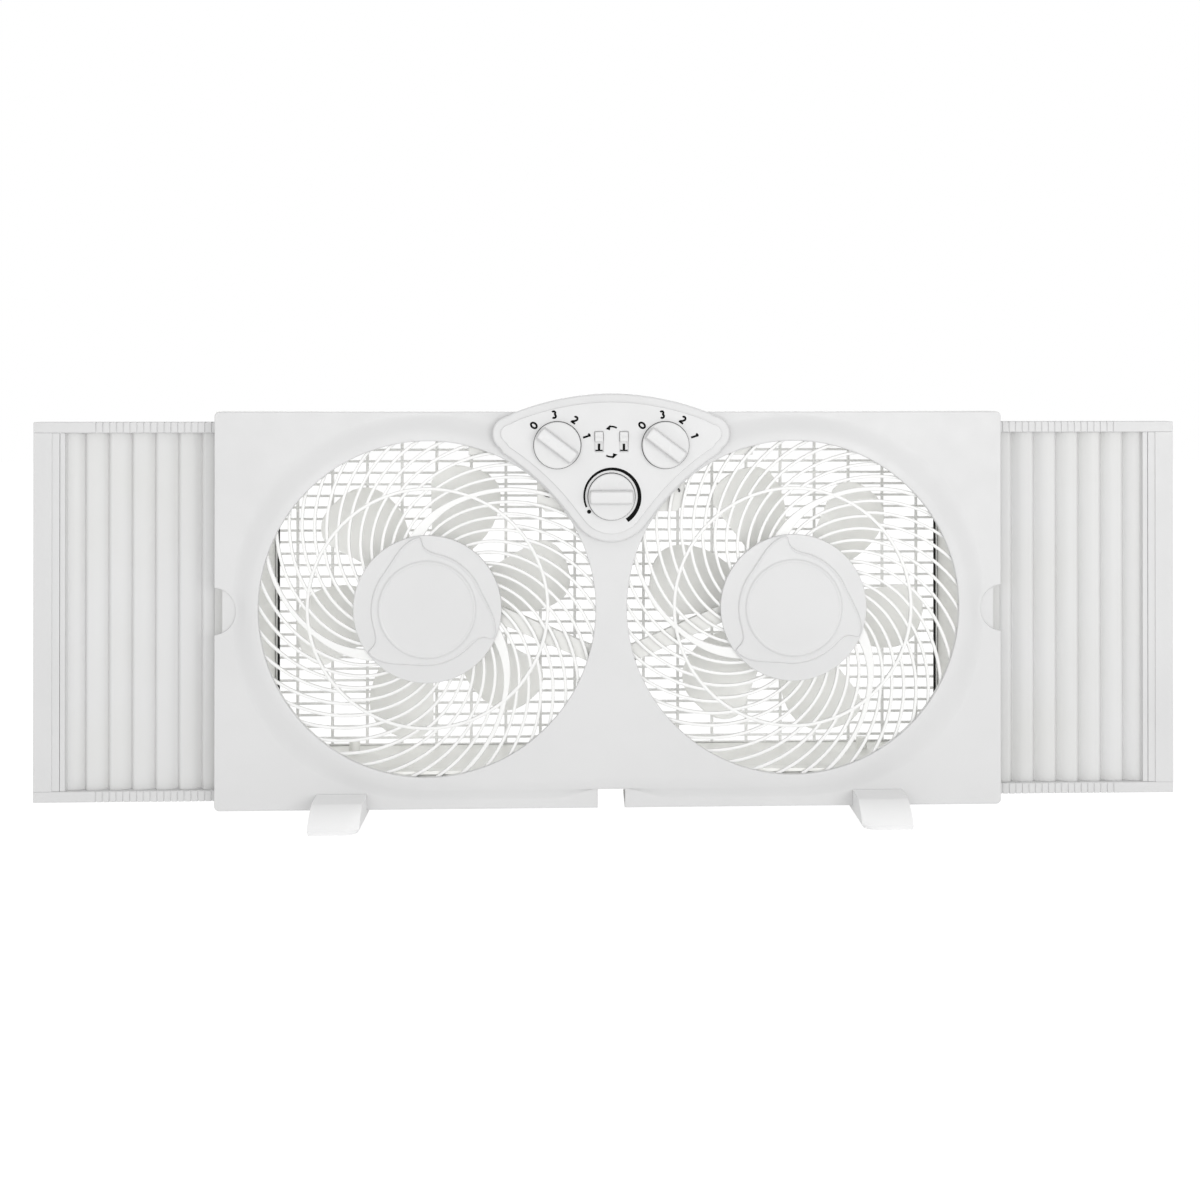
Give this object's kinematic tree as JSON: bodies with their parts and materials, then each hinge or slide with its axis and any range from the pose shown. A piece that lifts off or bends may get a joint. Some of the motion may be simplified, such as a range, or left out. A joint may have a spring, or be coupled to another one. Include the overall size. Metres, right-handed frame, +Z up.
{
  "type": "window fan",
  "caption": "Twin reversible window fan: white housing with swirl grilles, console with knobs, feet, and side panels that slide out over folding sheets.",
  "frame": {"origin": "bottom centre of the whole fan's box: the feet stand on z = 0, x = 0 is midway between the two fans, y = 0 is midway along the feet", "axes": "+X to the right across the window, +Y from the front, where the controls are, to the back, +Z up"},
  "size_m": [0.94, 0.16, 0.3438],
  "materials": {
    "body_plastic": "moulded, satin",
    "rear_grille_plastic": "moulded, satin",
    "grille_plastic": "moulded, gloss",
    "panel_plastic": "moulded, satin",
    "knob_plastic": "moulded, gloss",
    "switch_plastic": "moulded, matt",
    "capacitor_plastic": "moulded, matt",
    "motor_casting": "pressed steel, zinc plated",
    "core_steel": "stacked laminations",
    "enamelled_wire": "enamelled copper wire",
    "bearing_bronze": "sintered",
    "shaft_steel": "ground",
    "impeller_plastic": "moulded, satin",
    "duct_plastic": "moulded, satin",
    "lead_rubber": "insulated wire",
    "rail_plastic": "extruded, satin",
    "sheet_plastic": "folded sheet, satin",
    "screw_steel": "zinc plated",
    "bush_rubber": "soft moulding, matt"
  },
  "bodies": {
    "root": {"front_housing": "body_plastic", "rear_housing": "body_plastic", "rear_grille": "rear_grille_plastic", "left_front_grille": "grille_plastic", "right_front_grille": "grille_plastic", "left_hub_cap": "grille_plastic", "right_hub_cap": "grille_plastic", "control_panel": "panel_plastic", "control_box": "body_plastic", "left_speed_switch": "switch_plastic", "right_speed_switch": "switch_plastic", "thermostat": "switch_plastic", "left_direction_switch": "switch_plastic", "right_direction_switch": "switch_plastic", "left_capacitor": "capacitor_plastic", "right_capacitor": "capacitor_plastic", "left_motor_front_bracket": "motor_casting", "right_motor_front_bracket": "motor_casting", "left_motor_core": "core_steel", "right_motor_core": "core_steel", "left_motor_winding": "enamelled_wire", "right_motor_winding": "enamelled_wire", "left_motor_rear_bracket": "motor_casting", "right_motor_rear_bracket": "motor_casting", "left_motor_bearings": "bearing_bronze", "right_motor_bearings": "bearing_bronze", "left_wire_duct": "duct_plastic", "right_wire_duct": "duct_plastic", "left_motor_leads": "lead_rubber", "right_motor_leads": "lead_rubber", "left_accordion": "sheet_plastic", "right_accordion": "sheet_plastic", "left_foot": "body_plastic", "right_foot": "body_plastic", "housing_screws": "screw_steel", "foot_screws": "screw_steel", "inlet_bush": "bush_rubber"},
    "left_speed_dial": {"left_speed_knob": "knob_plastic"},
    "right_speed_dial": {"right_speed_knob": "knob_plastic"},
    "thermostat_dial": {"thermostat_knob": "knob_plastic"},
    "left_direction_slider": {"left_direction_button": "knob_plastic"},
    "right_direction_slider": {"right_direction_button": "knob_plastic"},
    "left_rotor": {"left_motor_shaft": "shaft_steel", "left_rotor_core": "core_steel", "left_impeller": "impeller_plastic", "left_impeller_nut": "impeller_plastic"},
    "right_rotor": {"right_motor_shaft": "shaft_steel", "right_rotor_core": "core_steel", "right_impeller": "impeller_plastic", "right_impeller_nut": "impeller_plastic"},
    "left_side_panel": {"left_end_bar": "rail_plastic", "left_top_rail": "rail_plastic", "left_bottom_rail": "rail_plastic"},
    "right_side_panel": {"right_end_bar": "rail_plastic", "right_top_rail": "rail_plastic", "right_bottom_rail": "rail_plastic"}
  },
  "joints": [
    {"name": "left_fan_spin", "type": "hinge", "parent": "root", "child": "left_rotor", "pos_m": [-0.148, 0, 0.17], "axis": [0, 1, 0], "continuous": true},
    {"name": "right_fan_spin", "type": "hinge", "parent": "root", "child": "right_rotor", "pos_m": [0.148, 0, 0.17], "axis": [0, 1, 0], "continuous": true},
    {"name": "left_speed_turn", "type": "hinge", "parent": "root", "child": "left_speed_dial", "pos_m": [-0.0434, -0.04, 0.3023], "axis": [0, 1, 0], "range_deg": [0, 123]},
    {"name": "right_speed_turn", "type": "hinge", "parent": "root", "child": "right_speed_dial", "pos_m": [0.0434, -0.04, 0.3023], "axis": [0, 1, 0], "range_deg": [0, 123]},
    {"name": "thermostat_turn", "type": "hinge", "parent": "root", "child": "thermostat_dial", "pos_m": [0, -0.04, 0.261], "axis": [0, 1, 0], "range_deg": [-33, 237]},
    {"name": "left_direction_slide", "type": "slide", "parent": "root", "child": "left_direction_slider", "axis": [0, 0, -1], "range_m": [0, 0.008]},
    {"name": "right_direction_slide", "type": "slide", "parent": "root", "child": "right_direction_slider", "axis": [0, 0, -1], "range_m": [0, 0.008]},
    {"name": "left_panel_slide", "type": "slide", "parent": "root", "child": "left_side_panel", "axis": [1, 0, 0], "range_m": [0, 0.15], "deforming": ["left_accordion"]},
    {"name": "right_panel_slide", "type": "slide", "parent": "root", "child": "right_side_panel", "axis": [-1, 0, 0], "range_m": [0, 0.15], "deforming": ["right_accordion"]}
  ]
}
